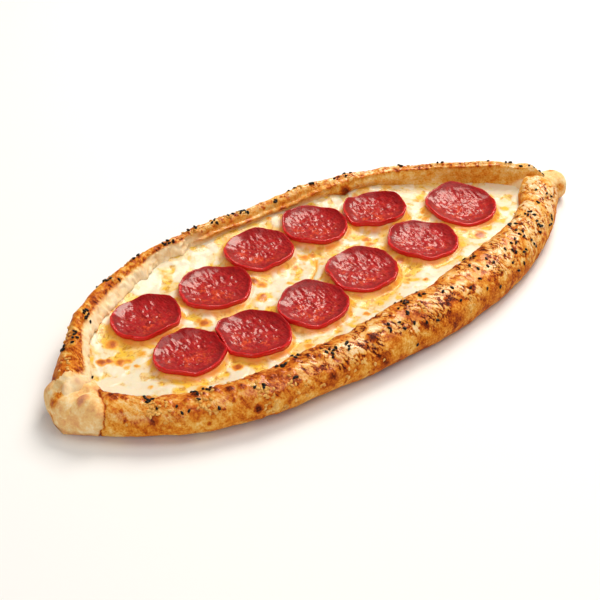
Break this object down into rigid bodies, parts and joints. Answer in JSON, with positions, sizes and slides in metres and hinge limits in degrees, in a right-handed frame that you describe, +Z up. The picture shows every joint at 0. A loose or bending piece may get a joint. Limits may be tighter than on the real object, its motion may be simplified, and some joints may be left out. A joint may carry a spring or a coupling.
{
  "type": "turkish pide",
  "caption": "Boat-shaped flatbread with rolled edges and pinched ends, filled with melted cheese and cured sausage slices and sprinkled with seeds.",
  "frame": {"origin": "on the surface that the pide lies on, under the middle of its bounding box", "axes": "+X along the boat to its small nub, +Y across to its thin folded rim, +Z up"},
  "size_m": [0.3782, 0.1588, 0.0275],
  "materials": {
    "crust": "golden-brown baked dough with an egg wash, darker on its crests",
    "cheese": "melted cheese, cream to yellow with toasted spots, moist",
    "sucuk": "deep red cured sausage with pale fat flecks, oily"
  },
  "bodies": {
    "root": {"crust": "crust", "cheese": "cheese", "sucuk_slice_01": "sucuk", "sucuk_slice_02": "sucuk", "sucuk_slice_03": "sucuk", "sucuk_slice_04": "sucuk", "sucuk_slice_05": "sucuk", "sucuk_slice_06": "sucuk", "sucuk_slice_07": "sucuk", "sucuk_slice_08": "sucuk", "sucuk_slice_09": "sucuk", "sucuk_slice_10": "sucuk", "sucuk_slice_11": "sucuk"}
  },
  "joints": []
}
